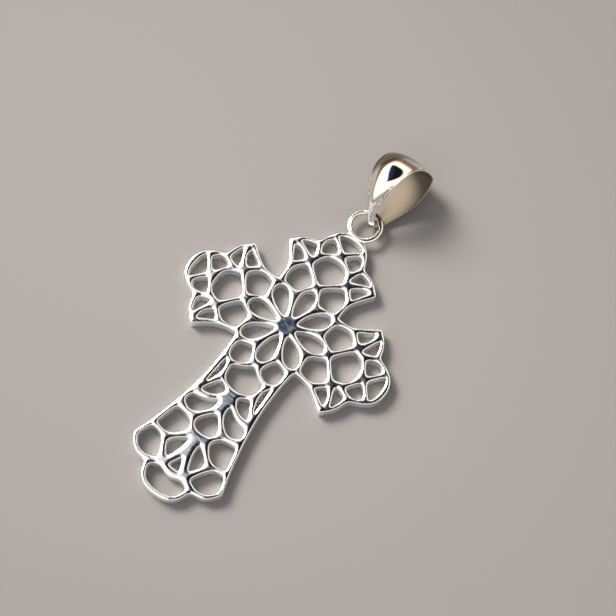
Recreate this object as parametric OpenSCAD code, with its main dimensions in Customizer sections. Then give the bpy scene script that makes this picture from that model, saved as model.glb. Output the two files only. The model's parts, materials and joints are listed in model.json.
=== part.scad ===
// Openwork cross pendant lying on its back: a flat pierced cross with a soldered ring, and a folded bail.
// X runs across the cross, Y from its foot to the bail, and Z up. The origin is at the base, in the middle.

/* [Cross] */
// Width over the two side arms
cross_w = 23.9; // [21:0.1:26]
// Thickness of the pierced plate
plate_t = 1.3; // [1.2:0.05:1.5]
// Distance from the flower's centre to the middle of a long petal
petal_mid = 2.9; // [2.85:0.01:2.95]

/* [Ring] */
// Radius of the hole in the ring
ring_hole_r = 1.31; // [1.3:0.01:1.36]
// Width of the ring's wire, seen from above
ring_wire_w = 0.58; // [0.54:0.01:0.62]
// Height of the ring's wire
ring_wire_h = 0.5; // [0.46:0.01:0.52]

/* [Bail] */
// Length of the folded band, from its closed end in the ring to the fold
bail_len = 8.25; // [8.15:0.05:8.4]
// Height of the front leaf over the line from the closed end to the fold, outside
bail_front = 4.75; // [4.6:0.05:4.9]
// Height of the back leaf under that line, outside
bail_back = 1.35; // [1.25:0.05:1.4]
// Width of the band at the fold
bail_w = 3.8; // [3.7:0.05:3.9]
// Width of the band at its closed end
bail_tip_w = 0.9; // [0.8:0.05:0.95]
// Thickness of the band at the fold
bail_wall = 0.38; // [0.3:0.02:0.4]

/* [Hidden] */
silver = [0.86, 0.87, 0.88];
petals = 8;

// Straight pieces drawn for each rounded corner of an opening
corner_steps = 6;

// The charts below give an outline a row for each of its corners, [across, out, tightness], in mm from the
// flower's centre. Tightness 1 rounds a corner softly, and a larger value pulls the outline into the corner.
// Charts named half hold the right half of an opening on the axis. The others hold an opening with a twin.

// Petal, from its inner end to its outer end, measured out from petal_mid
petal_half = [[0, -1.93, 1.8], [0.72, -0.6, 1], [0.87, 1.05, 1.1], [0, 1.78, 0.9]];

// Upright arm: the middle and lobe openings on its axis, then the openings on its right side
arm_middle_half = [[0, 5.36, 2.8], [1.88, 6.98, 2.8], [1.18, 8.62, 1.2]];
arm_lobe_half = [[0, 9.7, 2.2], [1.55, 11.0, 2.2], [0.7, 11.4, 1]];
arm_crotch = [[1.3, 3.58, 2.2], [3.02, 3.82, 2.2], [3.38, 5.4, 1.1], [2.3, 6.66, 1.8], [0.42, 5.22, 2.6]];
arm_shoulder = [[0.35, 9.4, 2], [1.7, 8.4, 1.8], [2.15, 8.95, 1], [2.25, 9.85, 1.1], [1.55, 10.5, 1.3]];
arm_notch = [[2.15, 7.45, 1.8], [4.35, 8.4, 2.2], [3.4, 8.8, 1.2], [2.6, 8.95, 1.4]];
arm_corner = [[2.75, 6.9, 1.8], [3.62, 6.0, 1.8], [4.08, 6.85, 0.8], [4.55, 7.65, 2.2], [3.7, 7.7, 1]];

// Lower arm: the openings on its axis from the flower to the foot, then the openings on its right side
low_scale_half = [[0, -5.2, 1.5], [1.0, -6.0, 0.8], [1.98, -6.35, 1.6], [1.66, -7.83, 1], [0.58, -8.34, 1]];
low_middle_half = [[0, -11.05, 1.6], [1.4, -12.75, 1.3], [0.85, -13.7, 1]];
low_wedge_half = [[0, -16.55, 2], [0.65, -17.95, 2.5], [0, -18.0, 1]];
low_lobe_half = [[0, -19.0, 1], [1.3, -18.4, 1.2], [2.3, -19.05, 1.8], [1.7, -20.25, 1], [0.55, -20.6, 1]];
low_crotch = [[1.35, -3.52, 1.9], [2.9, -3.98, 2], [2.97, -5.42, 1.1], [1.92, -6.1, 0.9], [0.58, -5.2, 1.6]];
low_sliver = [[2.72, -6.05, 2], [2.1, -7.2, 1], [2.86, -9.3, 2.5], [2.84, -7.4, 1]];
low_wing = [[0.58, -8.83, 1.7], [1.78, -8.17, 2], [2.9, -10.15, 1.8], [1.5, -10.0, 1]];
low_shell = [
    [0.6, -9.85, 1.8], [1.9, -10.75, 0.8], [3.22, -10.95, 1.8],
    [3.5, -11.85, 1.4], [2.2, -12.6, 1], [0.65, -11.2, 1]
];
low_panel = [
    [1.9, -13.05, 1.7], [3.6, -12.8, 2], [3.96, -14.2, 0.8],
    [4.2, -15.3, 1.8], [2.5, -15.6, 1], [1.15, -14.0, 1.4]
];
low_leaf = [[0.58, -14.6, 2.2], [2.35, -16.0, 2], [1.3, -17.55, 2], [0.65, -16.0, 0.8]];
low_corner = [[3.0, -15.95, 1.6], [4.4, -15.75, 2], [4.98, -17.4, 1.8], [3.6, -18.6, 1], [1.78, -18.0, 2]];

// Right edge of an upright arm, from where it leaves the middle to the top of its lobe
arm_edge = [
    [3.62, 4.9, 1], [4.0, 6.0, 1], [5.4, 7.8, 5], [4.1, 9.05, 1],
    [2.72, 9.4, 1.8], [2.15, 10.9, 1], [1.0, 11.95, 1]
];
// Right edge of the lower arm, from the middle of the foot to where it meets the side arm
low_edge = [
    [1.15, -21.05, 1], [2.3, -20.2, 1], [2.65, -18.98, 1.8], [4.3, -18.75, 1],
    [5.35, -17.4, 3], [4.5, -15.0, 1], [3.4, -9.5, 1], [3.32, -5.5, 1]
];
// Inner corners of the outline, below and above the side arm
low_inner_corner = [3.5, -3.45, 3];
top_inner_corner = [3.68, 3.7, 3];

// The charts are drawn for the width chart_w over the side arms, and scaled to cross_w
chart_w = 2 * arm_edge[len(arm_edge) - 1][1];
chart_scale = cross_w / chart_w;
foot_y = chart_scale * low_edge[0][1];

// The ring is soldered to the top of the upper lobe, a little proud of the plate
ring_seat = 0.17;
ring_proud = 0.18;
ring_mid_y = cross_w / 2 + ring_seat + ring_hole_r;
ring_mid_z = plate_t + ring_proud - ring_wire_h / 2;

// The bail's loop, seen from its side: how much it narrows towards the closed end, and its wall there
tip_pinch = 0.4;
tip_wall = 0.42;
// How the band widens towards the fold
swell_start = 3.65;
swell_end = 4.45;
// How far the band is domed for its width, how round the dome is, and how much of it the fold and back leaf lose
dome_share = 0.24;
dome_round = 1.4;
fold_loss = 0.98;
back_loss = 0.85;
// Roundness of the band's rims
rim_round = 0.12;
// The bail lies with its fold raised, one rim up, and turned a little to the right
bail_pitch = 12.5;
bail_roll = -15.6;
bail_turn = -6.5;
bail_tip = [0.58, ring_mid_y + 0.15];
// Sections drawn round the loop, and points drawn across a face of the band
bail_sections = 60;
bail_across = 6;

function blend_at(a, c, b, tight, t) =
    let (wa = (1 - t) * (1 - t), wc = 2 * t * (1 - t) * tight, wb = t * t)
    (wa * a + wc * c + wb * b) / (wa + wc + wb);
function spot(row) = [row[0], row[1]];
function soft_loop(rows) = [
    for (k = [0 : len(rows) - 1])
        let (c = spot(rows[k]),
             a = (spot(rows[(k + len(rows) - 1) % len(rows)]) + c) / 2,
             b = (spot(rows[(k + 1) % len(rows)]) + c) / 2)
        for (i = [0 : corner_steps - 1]) blend_at(a, c, b, rows[k][2], i / corner_steps)
];

// Rows of the left side, in reverse order, made from rows of the right side
function mirrored_rows(rows) = [for (k = [len(rows) - 1 : -1 : 0]) [-rows[k][0], rows[k][1], rows[k][2]]];
function off_axis(rows) = [for (r = rows) if (r[0] != 0) r];
function both_halves(rows) = concat(rows, mirrored_rows(off_axis(rows)));
function turned_right(rows) = [for (r = rows) [r[1], -r[0], r[2]]];

side_edge = concat(turned_right(arm_edge), turned_right(mirrored_rows(arm_edge)));
right_edge = concat(low_edge, [low_inner_corner], side_edge, [top_inner_corner], arm_edge);

module soft_shape(rows) {
    polygon(soft_loop(rows));
}

module opening_pair(rows) {
    soft_shape(rows);
    mirror([1, 0]) soft_shape(rows);
}

module petal_openings() {
    for (k = [0 : petals - 1])
        rotate(k * 360 / petals) translate([0, petal_mid]) soft_shape(both_halves(petal_half));
}

module arm_openings() {
    for (rows = [arm_middle_half, arm_lobe_half]) soft_shape(both_halves(rows));
    for (rows = [arm_crotch, arm_shoulder, arm_notch, arm_corner]) opening_pair(rows);
}

module lower_openings() {
    for (rows = [low_scale_half, low_middle_half]) soft_shape(both_halves(rows));
    for (rows = [low_wedge_half, low_lobe_half]) soft_shape(both_halves(rows));
    for (rows = [low_crotch, low_sliver, low_wing, low_shell]) opening_pair(rows);
    for (rows = [low_panel, low_leaf, low_corner]) opening_pair(rows);
}

module pierced_plate() {
    linear_extrude(plate_t)
        scale(chart_scale)
            difference() {
                soft_shape(concat(right_edge, mirrored_rows(right_edge)));
                petal_openings();
                for (turn = [0, 90, -90]) rotate(turn) arm_openings();
                lower_openings();
            }
}

// Ring of oval wire: a round top and bottom with a flat stretch between them
module soldered_ring() {
    flat_w = ring_wire_w - ring_wire_h;
    translate([0, ring_mid_y, ring_mid_z])
        rotate_extrude($fn = 96)
            translate([ring_hole_r + ring_wire_w / 2, 0]) {
                for (side = [-1, 1]) translate([side * flat_w / 2, 0]) circle(d = ring_wire_h, $fn = 32);
                square([flat_w, ring_wire_h], center = true);
            }
}

module openwork_cross() {
    color(silver)
        translate([0, -middle_y, 0])
            union() {
                pierced_plate();
                soldered_ring();
            }
}

// The bail's loop in its own plane, [along, up], at the angle t round it: 0 is its closed end, 180 its fold
function pinched_sine(t) = sin(t) * pow(abs(sin(t / 2)), tip_pinch);
pinched_peak = max([for (t = [90 : 120]) pinched_sine(t)]);
function loop_at(t, length, front, back) =
    [length / 2 * (1 - cos(t)), (sin(t) < 0 ? back : front) * pinched_sine(t) / pinched_peak];
function outer_at(t) = loop_at(t, bail_len, bail_front, bail_back);
function inner_at(t) =
    [tip_wall, 0] + loop_at(t, bail_len - tip_wall - bail_wall, bail_front - bail_wall, bail_back - bail_wall);
function outward_at(t) =
    let (step = outer_at(t + 1) - outer_at(t - 1))
    [-step[1], step[0]] / norm(step);
function width_at(t) =
    bail_tip_w + (bail_w - bail_tip_w) * (1 - pow(1 - pow(abs(sin(t / 2)), swell_start), swell_end));
function dome_at(t) =
    width_at(t) * dome_share * (1 + back_loss * min(sin(t), 0)) * (1 - fold_loss * pow((1 - cos(t)) / 2, 4));

// Points across one face of the band, from left to right where side is 1, and back where it is -1
function face_points(t, base, side) =
    let (w = width_at(t), out = outward_at(t))
    [for (i = [0 : bail_across])
        let (k = side * (2 * i / bail_across - 1), p = base + out * dome_at(t) * (1 - pow(abs(k), dome_round)))
        [k * (w / 2 - rim_round), p[0], p[1]]];
function rim_point(t, side) =
    let (p = (outer_at(t) + inner_at(t)) / 2)
    [side * width_at(t) / 2, p[0], p[1]];
function section_at(t) =
    concat(
        face_points(t, outer_at(t), 1), [rim_point(t, 1)],
        face_points(t, inner_at(t), -1), [rim_point(t, -1)]
    );

// The way the bail lies: its fold raised, rolled onto one rim, and turned on the surface
function pitched(p, a) = [p[0], p[1] * cos(a) - p[2] * sin(a), p[1] * sin(a) + p[2] * cos(a)];
function rolled(p, a) = [p[0] * cos(a) + p[2] * sin(a), p[1], p[2] * cos(a) - p[0] * sin(a)];
function turned(p, a) = [p[0] * cos(a) - p[1] * sin(a), p[0] * sin(a) + p[1] * cos(a), p[2]];
function lying(p) = turned(rolled(pitched(p, bail_pitch), bail_roll), bail_turn);

bail_points = [for (k = [0 : bail_sections - 1]) for (p = section_at(k * 360 / bail_sections)) lying(p)];
ring_of_points = 2 * (bail_across + 2);
// Four-sided faces between one section and the next, and round to the first again
bail_faces = [
    for (k = [0 : bail_sections - 1])
        for (i = [0 : ring_of_points - 1])
            let (here = k * ring_of_points,
                 next = (k + 1) % bail_sections * ring_of_points,
                 j = (i + 1) % ring_of_points)
            [here + i, next + i, next + j, here + j]
];

// The lowest point of the bail is on the surface, and the middle of the whole is over the origin
bail_base_z = min([for (p = bail_points) p[2]]);
bail_end_y = bail_tip[1] + max([for (p = bail_points) p[1]]);
middle_y = (foot_y + bail_end_y) / 2;

module bail() {
    color(silver)
        translate([bail_tip[0], bail_tip[1] - middle_y, -bail_base_z])
            polyhedron(bail_points, bail_faces, convexity = 6);
}

openwork_cross();
bail();
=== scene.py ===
import json
import math

import bpy
from mathutils import Matrix, Vector
from mathutils.kdtree import KDTree


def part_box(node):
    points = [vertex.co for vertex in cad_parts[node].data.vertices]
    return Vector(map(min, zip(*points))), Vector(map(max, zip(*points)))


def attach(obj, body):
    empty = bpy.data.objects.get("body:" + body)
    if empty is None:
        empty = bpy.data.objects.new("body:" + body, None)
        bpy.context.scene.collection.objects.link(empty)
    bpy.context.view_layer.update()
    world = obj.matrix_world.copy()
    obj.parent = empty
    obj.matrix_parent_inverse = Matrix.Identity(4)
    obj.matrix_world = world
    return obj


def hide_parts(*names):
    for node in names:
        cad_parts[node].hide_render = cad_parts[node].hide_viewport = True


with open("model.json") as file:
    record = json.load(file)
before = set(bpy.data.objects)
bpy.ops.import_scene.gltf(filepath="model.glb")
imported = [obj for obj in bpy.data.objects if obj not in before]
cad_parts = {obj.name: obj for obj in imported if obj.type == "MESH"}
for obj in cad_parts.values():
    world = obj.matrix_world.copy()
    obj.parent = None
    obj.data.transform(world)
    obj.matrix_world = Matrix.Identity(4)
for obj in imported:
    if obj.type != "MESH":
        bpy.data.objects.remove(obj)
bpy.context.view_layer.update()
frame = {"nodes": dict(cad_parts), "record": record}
mm = 0.001
sameSpot = 0.001 * mm  # corners nearer to each other than this are one
levelShare = 0.9999  # z of a face's normal from which the face counts as level


def pickNothing():
    if bpy.context.object and bpy.context.object.mode != "OBJECT":
        bpy.ops.object.mode_set(mode="OBJECT")
    bpy.ops.object.select_all(action="DESELECT")


# Work on one object alone, with nothing else selected
def pickOnly(thing):
    pickNothing()
    thing.select_set(True)
    bpy.context.view_layer.objects.active = thing


def openEdit(kind="FACE", action="DESELECT"):
    bpy.ops.object.mode_set(mode="EDIT")
    bpy.ops.mesh.select_mode(type=kind)
    bpy.ops.mesh.select_all(action=action)


def closeEdit():
    bpy.ops.object.mode_set(mode="OBJECT")


# Open edit mode with only the faces selected that pass the test
def selectFaces(thing, test):
    pickOnly(thing)
    openEdit("FACE")
    closeEdit()
    for face in thing.data.polygons:
        face.select = test(face)
    bpy.ops.object.mode_set(mode="EDIT")


def copyOfNode(nodeName, newName):
    thing = bpy.data.objects.new(newName, frame["nodes"][nodeName].data.copy())
    thing.data.name = newName
    bpy.context.scene.collection.objects.link(thing)
    pickOnly(thing)
    thing.data.materials.clear()
    openEdit("VERT", "SELECT")
    bpy.ops.mesh.remove_doubles(threshold=sameSpot)
    closeEdit()
    return thing


def applyModifier(thing, kind, **settings):
    pickOnly(thing)
    modifier = thing.modifiers.new(kind.title(), kind)
    for name, value in settings.items():
        setattr(modifier, name, value)
    bpy.ops.object.modifier_apply(modifier=modifier.name)


def outwardNormals(thing):
    pickOnly(thing)
    openEdit("VERT", "SELECT")
    bpy.ops.mesh.remove_doubles(threshold=sameSpot)
    bpy.ops.mesh.normals_make_consistent(inside=False)
    closeEdit()


def joinInto(target, others):
    pickOnly(target)
    for other in others:
        other.select_set(True)
    bpy.ops.object.join()
    return target


# Camera at the photo's angle, from the fit to the cross in the picture
camera = {
    "place": (30.465, -43.357, 139.199),  # mm, as all lengths in these settings
    "right": (0.80690785, 0.59029794, 0.02116722),  # ways across the picture, in the part's frame
    "down": (0.55538275, -0.74600388, -0.36746184),
    "focalPixels": 1500.5,
    "framePixels": 616,
    "sensor": 36.0,
    "clipStart": 1.0,
}


def addCamera(settings):
    data = bpy.data.cameras.new("photoCamera")
    data.sensor_width = settings["sensor"]
    data.lens = settings["focalPixels"] / settings["framePixels"] * settings["sensor"]
    data.clip_start = settings["clipStart"] * mm
    seen = bpy.data.objects.new("photoCamera", data)
    bpy.context.scene.collection.objects.link(seen)
    right = Vector(settings["right"]).normalized()
    up = -Vector(settings["down"]).normalized()
    back = right.cross(up)
    turn = Matrix((right, up, back)).transposed().to_4x4()
    seen.matrix_world = Matrix.Translation(Vector(settings["place"]) * mm) @ turn
    bpy.context.scene.camera = seen


addCamera(camera)
print("camera placed")

# Pierced plate: its bars are softly domed, and the cut edges are rounded over by polishing
plate = {
    "thickness": 1.3,
    "edgeRadius": 0.15,
    "edgeProfile": ((1.0, 0.41), (0.9, 0.59), (0.67, 0.75), (0.33, 0.9)),  # rounded, but not fully
    "edgeSteps": 4,
    "curveSteps": 2,
    "faceEdges": (0.8, 0.4, 0.2, 0.14),  # edges inside the face longer than this are halved, in turn
    "domeReach": 0.26,
    "domeHeight": 0.035,
}


def faceOfPlate(face, sign):
    return face.normal.z * sign > levelShare


# Split the long edges inside the plate's face, so that it has corners along the middle of each bar
def splitFace(thing, longest):
    selectFaces(thing, lambda face: faceOfPlate(face, 1))
    bpy.ops.mesh.quads_convert_to_tris(quad_method="BEAUTY", ngon_method="BEAUTY")
    bpy.ops.mesh.beautify_fill(angle_limit=math.pi)
    closeEdit()
    mesh = thing.data
    sides = {}
    for face in mesh.polygons:
        if faceOfPlate(face, 1):
            for key in face.edge_keys:
                sides[key] = sides.get(key, 0) + 1
    openEdit("EDGE")
    closeEdit()
    for edge in mesh.edges:
        start, end = (mesh.vertices[corner].co for corner in edge.vertices)
        edge.select = sides.get(edge.key) == 2 and (end - start).length > longest * mm
    bpy.ops.object.mode_set(mode="EDIT")
    bpy.ops.mesh.subdivide(number_cuts=1)
    closeEdit()


# Raise the plate's face with the distance from its rims, most steeply beside them
def domeFace(thing, settings):
    selectFaces(thing, lambda face: faceOfPlate(face, 1))
    thing.vertex_groups.new(name="domed")
    bpy.ops.object.vertex_group_assign()
    bpy.ops.mesh.duplicate()
    bpy.ops.mesh.separate(type="SELECTED")
    closeEdit()
    rims = next(other for other in bpy.context.selected_objects if other != thing)
    pickOnly(rims)
    openEdit("FACE", "SELECT")
    bpy.ops.mesh.region_to_loop()
    bpy.ops.mesh.select_all(action="INVERT")
    bpy.ops.mesh.delete(type="EDGE")
    closeEdit()
    applyModifier(
        thing, "VERTEX_WEIGHT_PROXIMITY", vertex_group="domed", target=rims,
        proximity_mode="GEOMETRY", proximity_geometry={"EDGE"},
        min_dist=settings["domeReach"] * mm, max_dist=0, falloff_type="SHARP", invert_falloff=True)
    applyModifier(
        thing, "DISPLACE", vertex_group="domed", direction="Z",
        strength=settings["domeHeight"] * mm, mid_level=0)
    thing.vertex_groups.clear()
    bpy.data.objects.remove(rims)


def makePlate(settings):
    thing = copyOfNode("openwork_cross", "crossPlate")
    corners = thing.data.vertices
    # The edges round the flat back, as curves, are the plate's outline and its openings
    selectFaces(thing, lambda face: any(corners[v].co.z > sameSpot for v in face.vertices))
    bpy.ops.mesh.delete(type="FACE")
    bpy.ops.mesh.select_mode(type="EDGE")
    bpy.ops.mesh.select_all(action="DESELECT")
    bpy.ops.mesh.select_non_manifold(
        extend=False, use_wire=False, use_boundary=True, use_multi_face=False,
        use_non_contiguous=False, use_verts=False)
    bpy.ops.mesh.select_all(action="INVERT")
    bpy.ops.mesh.delete(type="EDGE_FACE")
    closeEdit()
    bpy.ops.object.convert(target="CURVE")
    outline = bpy.context.object
    outline.data.dimensions = "2D"
    bpy.ops.object.mode_set(mode="EDIT")
    bpy.ops.curve.select_all(action="SELECT")
    bpy.ops.curve.spline_type_set(type="BEZIER")
    bpy.ops.curve.handle_type_set(type="AUTOMATIC")
    bpy.ops.object.mode_set(mode="OBJECT")
    radius = settings["edgeRadius"] * mm
    outline.data.resolution_u = settings["curveSteps"]
    outline.data.fill_mode = "BOTH"
    outline.data.bevel_mode = "PROFILE"
    for out, up in settings["edgeProfile"]:
        outline.data.bevel_profile.points.add(out, up)
    outline.data.bevel_profile.update()
    outline.data.bevel_resolution = settings["edgeSteps"]
    outline.data.bevel_depth = radius
    outline.data.offset = -radius
    outline.data.extrude = settings["thickness"] * mm / 2 - radius
    bpy.ops.object.convert(target="MESH")
    thing = bpy.context.object
    openEdit("VERT", "SELECT")
    bpy.ops.transform.translate(value=(0, 0, settings["thickness"] * mm / 2))
    closeEdit()
    outwardNormals(thing)
    for longest in settings["faceEdges"]:
        splitFace(thing, longest)
    domeFace(thing, settings)
    # The back stays flat: its normals lead at the shared corners
    selectFaces(thing, lambda face: faceOfPlate(face, -1))
    bpy.ops.mesh.mod_weighted_strength(set=True, face_strength="STRONG")
    closeEdit()
    return thing


crossPlate = makePlate(plate)
print("plate rounded:", len(crossPlate.data.polygons), "faces")

# Soldered ring of oval wire on the top lobe
ring = {
    "holeRadius": 1.31,
    "wireWidth": 0.58,
    "wireHeight": 0.5,
    "wireSides": 24,
    "turnSteps": 96,
}


# The ring is the highest part of the cross, at its far end
def makeRing(settings):
    low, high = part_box("openwork_cross")
    x = (low[0] + high[0]) / 2
    y = high[1] - (settings["holeRadius"] + settings["wireWidth"]) * mm
    z = high[2] - settings["wireHeight"] / 2 * mm
    reach = (settings["holeRadius"] + settings["wireWidth"] / 2) * mm
    pickNothing()
    bpy.ops.mesh.primitive_circle_add(
        vertices=settings["wireSides"], radius=settings["wireWidth"] / 2 * mm,
        location=(x + reach, y, z), rotation=(math.pi / 2, 0, 0))
    thing = bpy.context.object
    bpy.ops.object.transform_apply(location=True, rotation=True, scale=True)
    openEdit("VERT", "SELECT")
    stretch = settings["wireHeight"] / settings["wireWidth"]
    bpy.ops.transform.resize(value=(1, 1, stretch), center_override=(x + reach, y, z))
    bpy.ops.mesh.spin(
        steps=settings["turnSteps"], angle=2 * math.pi, center=(x, y, z), axis=(0, 0, 1))
    closeEdit()
    outwardNormals(thing)
    thing.name = "solderedRing"
    return thing


solderedRing = makeRing(ring)
print("ring spun:", len(solderedRing.data.polygons), "faces")

cross = joinInto(crossPlate, [solderedRing])
cross.name = "silverCross"
bpy.ops.object.shade_smooth()
applyModifier(
    cross, "WEIGHTED_NORMAL", mode="CORNER_ANGLE", keep_sharp=False, use_face_influence=True)

# Folded bail: its rims are narrow, softly flat faces beside the domed band
bail = {
    "rimRound": 0.12,  # how far a rim's ridge stands out, as in the solid
    "ridgeSlack": 0.004,
    "rimBevel": 0.14,
    "rimPush": 0.075,
    "rimFacing": 0.97,  # least share of the normal across the band, on a rim face
    "rimFacingSmooth": 0.9,  # and on a rim face of the smoothed band
    "rollReach": 0.9,
    "rollDepth": 0.16,
    "smoothLevels": 2,
    "outsideShare": 0.3,  # least share of the normal out of the loop, on the band's outside
}

# Middle of the band's loop and the direction across the band, the way that a chain goes through it
chainWay = next(mount for mount in frame["record"]["mounts"] if mount["name"] == "chain_way")
loopMiddle = Vector(chainWay["pos_m"])
acrossBand = Vector(chainWay["axis"]).normalized()


# Corners on a rim's ridge stand out from their neighbours on both faces by the rim's roundness
def ridgeCorners(mesh, settings):
    heights = [corner.co.dot(acrossBand) for corner in mesh.vertices]
    middle = (min(heights) + max(heights)) / 2
    reach = [abs(height - middle) for height in heights]
    lower = {corner.index: 0 for corner in mesh.vertices}
    for edge in mesh.edges:
        for here, there in (edge.vertices, reversed(edge.vertices)):
            step = reach[here] - reach[there]
            lower[here] += abs(step - settings["rimRound"] * mm) < settings["ridgeSlack"] * mm
    return {index for index, count in lower.items() if count >= 2}


def cornersOfFaces(mesh, test):
    return {corner for face in mesh.polygons if test(face) for corner in face.vertices}


# Tell the band's outside from its inside, seen from the middle of its loop
def outwardShare(face):
    out = face.center - loopMiddle
    out = (out - acrossBand * out.dot(acrossBand)).normalized()
    return face.normal.dot(out)


# Turn the outer face down towards both rims
def rollRims(thing, settings):
    mesh = thing.data
    group = thing.vertex_groups.new(name="rolled")
    rims = cornersOfFaces(
        mesh, lambda face: abs(face.normal.dot(acrossBand)) > settings["rimFacingSmooth"])
    nearest = KDTree(len(rims))
    for corner in rims:
        nearest.insert(mesh.vertices[corner].co, corner)
    nearest.balance()
    outer = cornersOfFaces(mesh, lambda face: outwardShare(face) > settings["outsideShare"])
    for corner in outer:
        distance = nearest.find(mesh.vertices[corner].co)[2]
        share = 1 - distance / (settings["rollReach"] * mm)
        if share > 0:
            group.add([corner], share ** 2, "REPLACE")
    applyModifier(
        thing, "DISPLACE", vertex_group="rolled", strength=-settings["rollDepth"] * mm,
        mid_level=0.0)


def makeBail(settings):
    thing = copyOfNode("bail", "silverBail")
    openEdit("FACE", "SELECT")
    bpy.ops.mesh.tris_convert_to_quads(face_threshold=math.pi, shape_threshold=math.pi)
    openEdit("EDGE")
    closeEdit()
    ridge = ridgeCorners(thing.data, settings)
    for edge in thing.data.edges:
        edge.select = all(end in ridge for end in edge.vertices)
    print("bail rims found:", sum(edge.select for edge in thing.data.edges), "edges")
    bpy.ops.object.mode_set(mode="EDIT")
    bpy.ops.mesh.bevel(
        offset=settings["rimBevel"] * mm, segments=1, affect="EDGES", clamp_overlap=True)
    closeEdit()
    for side in (-1, 1):
        selectFaces(
            thing, lambda face: face.normal.dot(acrossBand) * side > settings["rimFacing"])
        bpy.ops.transform.translate(value=acrossBand * side * settings["rimPush"] * mm)
        closeEdit()
    levels = settings["smoothLevels"]
    applyModifier(thing, "SUBSURF", levels=levels, render_levels=levels)
    rollRims(thing, settings)
    pickOnly(thing)
    bpy.ops.object.shade_smooth()
    return thing


silverBail = makeBail(bail)
print("bail smoothed:", len(silverBail.data.polygons), "faces")


# sRGB hex value to linear red, green, blue and alpha
def linear(hexColour):
    parts = [int(hexColour[i:i + 2], 16) / 255 for i in (1, 3, 5)]
    return [p / 12.92 if p <= 0.04045 else ((p + 0.055) / 1.055) ** 2.4 for p in parts] + [1.0]


# One node with its settings, its links as input: (node, output), its values, and a ramp's stops
def addNode(tree, kind, settings=None, links=None, values=None, stops=None):
    node = tree.nodes.new(kind)
    for name, value in (settings or {}).items():
        setattr(node, name, value)
    for name, value in (values or {}).items():
        node.inputs[name].default_value = value
    for name, (source, output) in (links or {}).items():
        tree.links.new(source.outputs[output], node.inputs[name])
    for index, (place, colour) in enumerate(stops or []):
        point = node.color_ramp.elements[0] if index == 0 else node.color_ramp.elements.new(place)
        point.position, point.color = place, colour
    if stops:  # the ramp's own last stop
        node.color_ramp.elements.remove(node.color_ramp.elements[-1])
    return node


def emptyTree(owner):
    owner.use_nodes = True
    owner.node_tree.nodes.clear()
    return owner.node_tree


wornSilver = {
    "colour": "#f6f3ee",
    # walls inside the openings: dull tarnish, darkened further with painted shade
    "wallTarnishAndShadeColour": "#9c8878",
    "roughness": 0.06,
    "roughScratch": 0.24,
    "roughWall": 0.45,
    "scratchTurns": (0.45, -0.95, 1.5),  # radians
    "scratchLength": 1.6,
    "scratchWidth": 0.07,
    "scratchDepth": 0.0012,
    "scratchNoise": (0.6, 0.74),  # a scratch fades in between these heights of its noise
    "speckSize": 0.16,
    "speckDepth": 0.0018,
    "waveSize": 2.2,
    "waveHeight": 0.0035,
    "wallFrom": 1.2,  # height where the walls' dull finish and painted shade start, and where they are full
    "wallTo": 1.05,
}
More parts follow.
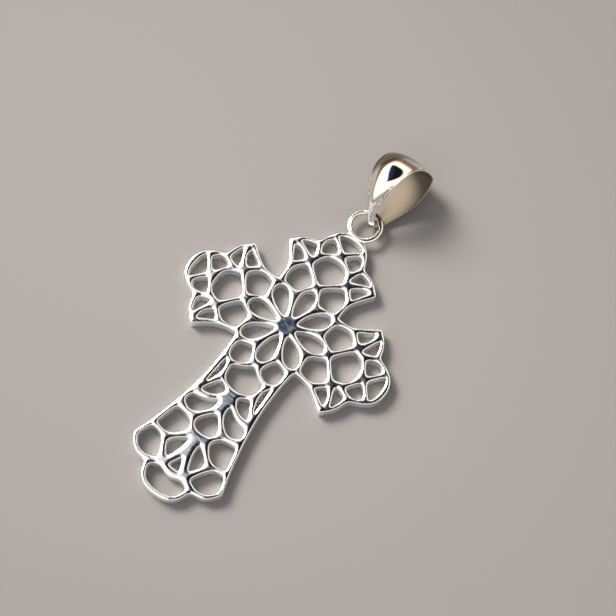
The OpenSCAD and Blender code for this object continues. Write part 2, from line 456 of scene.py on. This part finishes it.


# Cast sterling silver, polished by hand and worn: navy and white reflections that break up in
# hairline scratches and specks on the flats, and dull warm walls inside the openings, where the
# polishing didn't reach, with painted shade darkening them further. Real hairlines are too fine to
# show, so they are drawn about 0.07 mm wide.
def makeWornSilver(settings):
    material = bpy.data.materials.new("wornSterlingSilver")
    tree = emptyTree(material)
    place = addNode(tree, "ShaderNodeTexCoord")
    faint, full = settings["scratchNoise"]
    marks = []
    for turn in settings["scratchTurns"]:
        along = addNode(tree, "ShaderNodeMapping", links={"Vector": (place, "Object")}, values={
            "Rotation": (0, 0, turn),
            "Scale": (1 / settings["scratchLength"], 1 / settings["scratchWidth"], 1)})
        lines = addNode(tree, "ShaderNodeTexNoise", links={"Vector": (along, "Vector")}, values={
            "Scale": 1 / mm, "Detail": 1.0})
        marks.append(addNode(tree, "ShaderNodeMapRange", links={"Value": (lines, "Fac")}, values={
            "From Min": faint, "From Max": full}))
    scratch = addNode(tree, "ShaderNodeMath", {"operation": "ADD"}, links={
        0: (marks[0], "Result"), 1: (marks[1], "Result")})
    scratch = addNode(tree, "ShaderNodeMath", {"operation": "ADD", "use_clamp": True}, links={
        0: (scratch, "Value"), 1: (marks[2], "Result")})
    specks = addNode(tree, "ShaderNodeTexNoise", links={"Vector": (place, "Object")}, values={
        "Scale": 1 / (settings["speckSize"] * mm), "Detail": 2.0})
    waves = addNode(tree, "ShaderNodeTexNoise", links={"Vector": (place, "Object")}, values={
        "Scale": 1 / (settings["waveSize"] * mm), "Detail": 0.0})
    bump = addNode(tree, "ShaderNodeBump", links={"Height": (waves, "Fac")}, values={
        "Strength": 1.0, "Distance": settings["waveHeight"] * mm})
    bump = addNode(tree, "ShaderNodeBump", links={
        "Height": (specks, "Fac"), "Normal": (bump, "Normal")}, values={
        "Strength": 1.0, "Distance": settings["speckDepth"] * mm})
    bump = addNode(tree, "ShaderNodeBump", {"invert": True}, links={
        "Height": (scratch, "Value"), "Normal": (bump, "Normal")}, values={
        "Strength": 1.0, "Distance": settings["scratchDepth"] * mm})
    rough = addNode(tree, "ShaderNodeMapRange", links={"Value": (scratch, "Value")}, values={
        "To Min": settings["roughness"], "To Max": settings["roughScratch"]})
    parts = addNode(tree, "ShaderNodeSeparateXYZ", links={"Vector": (place, "Object")})
    wallTarnishAndShade = addNode(
        tree, "ShaderNodeMapRange", {"interpolation_type": "SMOOTHSTEP"},
        links={"Value": (parts, "Z")},
        values={"From Min": settings["wallFrom"] * mm, "From Max": settings["wallTo"] * mm})
    rough = addNode(
        tree, "ShaderNodeMapRange",
        links={"Value": (wallTarnishAndShade, "Result"), "To Min": (rough, "Result")},
        values={"To Max": settings["roughWall"]})
    # Lower down, the walls turn warm brown: partly dull tarnish, partly painted shade
    colour = addNode(tree, "ShaderNodeValToRGB", links={"Fac": (wallTarnishAndShade, "Result")}, stops=[
        (0.0, linear(settings["colour"])), (1.0, linear(settings["wallTarnishAndShadeColour"]))])
    shader = addNode(tree, "ShaderNodeBsdfPrincipled", links={
        "Base Color": (colour, "Color"), "Roughness": (rough, "Result"),
        "Normal": (bump, "Normal")}, values={"Metallic": 1.0})
    addNode(tree, "ShaderNodeOutputMaterial", links={"Surface": (shader, "BSDF")})
    return material


polishedSilver = {
    "colour": "#f7f3ec",
    # painted brown reflection, then painted shade, on faces turned one way
    "paintedReflectionColour": "#a39183",
    "paintedShadeColour": "#685c53",
    "paintedReflectionSide": (-0.75, 0.65, 0.0),
    "paintedReflectionShares": (0.34, 0.48, 0.75),  # share of a normal that way where the painted reflection starts, is full, and where the painted shade is darkest
    "roughness": 0.045,
    "waveSize": 2.5,
    "waveHeight": 0.006,
    "grainTurn": 0.3,  # radians
    "grainLength": 3.0,
    "grainWidth": 0.09,
    "grainDepth": 0.0003,
}


# Sheet sterling silver, buffed to a high polish: sharp reflections, drawn out a little by faint
# buffing lines, and a painted warm brown reflection on the fold and on the side away from the face,
# deepening to painted shade where the band turns furthest that way. Real lines are too fine to
# show, so they are drawn about 0.09 mm wide.
def makePolishedSilver(settings):
    material = bpy.data.materials.new("polishedSterlingSilver")
    tree = emptyTree(material)
    place = addNode(tree, "ShaderNodeTexCoord")
    waves = addNode(tree, "ShaderNodeTexNoise", links={"Vector": (place, "Object")}, values={
        "Scale": 1 / (settings["waveSize"] * mm), "Detail": 0.0})
    along = addNode(tree, "ShaderNodeMapping", links={"Vector": (place, "Object")}, values={
        "Rotation": (0, 0, settings["grainTurn"]),
        "Scale": (1 / settings["grainWidth"], 1 / settings["grainLength"], 1)})
    grain = addNode(tree, "ShaderNodeTexNoise", links={"Vector": (along, "Vector")}, values={
        "Scale": 1 / mm, "Detail": 1.0})
    bump = addNode(tree, "ShaderNodeBump", links={"Height": (waves, "Fac")}, values={
        "Strength": 1.0, "Distance": settings["waveHeight"] * mm})
    bump = addNode(tree, "ShaderNodeBump", links={
        "Height": (grain, "Fac"), "Normal": (bump, "Normal")}, values={
        "Strength": 1.0, "Distance": settings["grainDepth"] * mm})
    # Painted reflection and shade: faces turned towards one side get a brown, then darker, colour
    facing = addNode(
        tree, "ShaderNodeVectorMath", {"operation": "DOT_PRODUCT"},
        links={0: (place, "Normal")}, values={1: settings["paintedReflectionSide"]})
    clean, reflectionFull, side = settings["paintedReflectionShares"]
    colour = addNode(tree, "ShaderNodeValToRGB", links={"Fac": (facing, "Value")}, stops=[
        (clean, linear(settings["colour"])), (reflectionFull, linear(settings["paintedReflectionColour"])),
        (side, linear(settings["paintedShadeColour"]))])
    shader = addNode(tree, "ShaderNodeBsdfPrincipled", links={
        "Base Color": (colour, "Color"), "Normal": (bump, "Normal")}, values={
        "Metallic": 1.0, "Roughness": settings["roughness"]})
    addNode(tree, "ShaderNodeOutputMaterial", links={"Surface": (shader, "BSDF")})
    return material


# the dark colour is painted shade inside the band; the roughness is its satin finish
satinSilverInPaintedShade = {"colour": "#756c62", "roughness": 0.7}


# The inside of the band, which no wheel reaches: sheet sterling silver, dulled by its pickling, with
# its colour darkened as painted shade
def makeSatinSilverInPaintedShade(settings):
    material = bpy.data.materials.new("satinSterlingSilverInPaintedShade")
    tree = emptyTree(material)
    shader = addNode(tree, "ShaderNodeBsdfPrincipled", values={
        "Base Color": linear(settings["colour"]), "Metallic": 1.0,
        "Roughness": settings["roughness"]})
    addNode(tree, "ShaderNodeOutputMaterial", links={"Surface": (shader, "BSDF")})
    return material


# Give the faces that look to the middle of the band's loop the satin finish and its painted shade
def finishAndShadeInside(thing, material, settings):
    thing.data.materials.append(material)
    for face in thing.data.polygons:
        face.material_index = int(outwardShare(face) < -settings["outsideShare"])


cross.data.materials.append(makeWornSilver(wornSilver))
silverBail.data.materials.append(makePolishedSilver(polishedSilver))
finishAndShadeInside(silverBail, makeSatinSilverInPaintedShade(satinSilverInPaintedShade), bail)
print("silver finished")

floorSettings = {"colour": "#797777", "half": 600.0, "roughness": 0.9, "shine": 0.2}


# Board with pale matt paint, which shows soft shadows and no reflections
def makeFloor(settings):
    pickNothing()
    bpy.ops.mesh.primitive_plane_add(size=2 * settings["half"] * mm, location=(0, 0, 0))
    thing = bpy.context.object
    thing.name = "paleFloor"
    material = bpy.data.materials.new("paleMattPaint")
    tree = emptyTree(material)
    shader = addNode(tree, "ShaderNodeBsdfPrincipled", values={
        "Base Color": linear(settings["colour"]), "Roughness": settings["roughness"],
        "Specular IOR Level": settings["shine"]})
    addNode(tree, "ShaderNodeOutputMaterial", links={"Surface": (shader, "BSDF")})
    thing.data.materials.append(material)
    return thing


paleFloor = makeFloor(floorSettings)

# Studio round the piece, as seen from it: dim warm walls that turn white higher up, then a ceiling
# one unit up with a white window on one side, which turns from blue over black to a warm grey
# across to the other side
studio = {
    "ceilingAcross": (0.889, 0.457, 0.0),
    "ceilingFrom": -0.4,
    "ceilingTo": 1.1,
    "ceiling": [(-0.126, "#ffffff"), (-0.115, "#f4f6fa"), (-0.103, "#46597a"), (-0.04, "#2d3045"),
                (0.22, "#16141a"), (0.6, "#1a1618"), (1.0, "#6a625c")],
    "around": [(0.0, "#7d6856"), (0.16, "#957d69"), (0.32, "#fffcf6"), (0.62, "#fffdfa")],
    "aroundLean": (0.08, -0.2, 1.0),
    "ceilingStart": (0.74, 0.82),
    "leastUp": 0.01,  # keeps the way across the ceiling finite
    "strength": 1.15,
}

keyLight = {
    "colour": "#fff8ee",
    "watts": 0.26,
    "size": 180.0,
    "place": (-260.0, 30.0, 270.0),
    "spread": 40.0,  # degrees
}


def makeStudio(settings):
    world = bpy.data.worlds.new("studio")
    bpy.context.scene.world = world
    tree = emptyTree(world)
    place = addNode(tree, "ShaderNodeTexCoord")
    parts = addNode(tree, "ShaderNodeSeparateXYZ", links={"Vector": (place, "Generated")})
    up = addNode(
        tree, "ShaderNodeMath", {"operation": "MAXIMUM"},
        links={0: (parts, "Z")}, values={1: settings["leastUp"]})
    across = addNode(
        tree, "ShaderNodeVectorMath", {"operation": "DOT_PRODUCT"},
        links={0: (place, "Generated")}, values={1: settings["ceilingAcross"]})
    reach = addNode(
        tree, "ShaderNodeMath", {"operation": "DIVIDE"},
        links={0: (across, "Value"), 1: (up, "Value")})
    low, high = settings["ceilingFrom"], settings["ceilingTo"]
    share = addNode(tree, "ShaderNodeMapRange", links={"Value": (reach, "Value")}, values={
        "From Min": low, "From Max": high})
    ceiling = addNode(tree, "ShaderNodeValToRGB", links={"Fac": (share, "Result")}, stops=[
        ((spot - low) / (high - low), linear(colour)) for spot, colour in settings["ceiling"]])
    height = addNode(
        tree, "ShaderNodeVectorMath", {"operation": "DOT_PRODUCT"},
        links={0: (place, "Generated")}, values={1: settings["aroundLean"]})
    around = addNode(tree, "ShaderNodeValToRGB", links={"Fac": (height, "Value")}, stops=[
        (spot, linear(colour)) for spot, colour in settings["around"]])
    start, end = settings["ceilingStart"]
    above = addNode(
        tree, "ShaderNodeMapRange", {"interpolation_type": "SMOOTHSTEP"},
        links={"Value": (parts, "Z")}, values={"From Min": start, "From Max": end})
    colour = addNode(tree, "ShaderNodeMix", {"data_type": "RGBA"}, links={
        "Factor": (above, "Result"), "A": (around, "Color"), "B": (ceiling, "Color")})
    background = addNode(
        tree, "ShaderNodeBackground", links={"Color": (colour, "Result")},
        values={"Strength": settings["strength"]})
    addNode(tree, "ShaderNodeOutputWorld", links={"Surface": (background, "Background")})


# Soft box at the upper left of the picture, turned to the piece, with a grid that keeps its light
# near the piece
def addKeyLight(settings):
    pickNothing()
    bpy.ops.object.light_add(type="AREA", location=[part * mm for part in settings["place"]])
    lamp = bpy.context.object
    lamp.name = "softBox"
    lamp.rotation_euler = Vector(settings["place"]).to_track_quat("Z", "Y").to_euler()
    lamp.data.energy = settings["watts"]
    lamp.data.size = settings["size"] * mm
    lamp.data.color = linear(settings["colour"])[:3]
    lamp.data.spread = math.radians(settings["spread"])


makeStudio(studio)
addKeyLight(keyLight)
bpy.context.scene.view_settings.view_transform = "Standard"
print("studio ready")

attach(cross, "root")
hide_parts("openwork_cross")
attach(silverBail, "root")
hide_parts("bail")
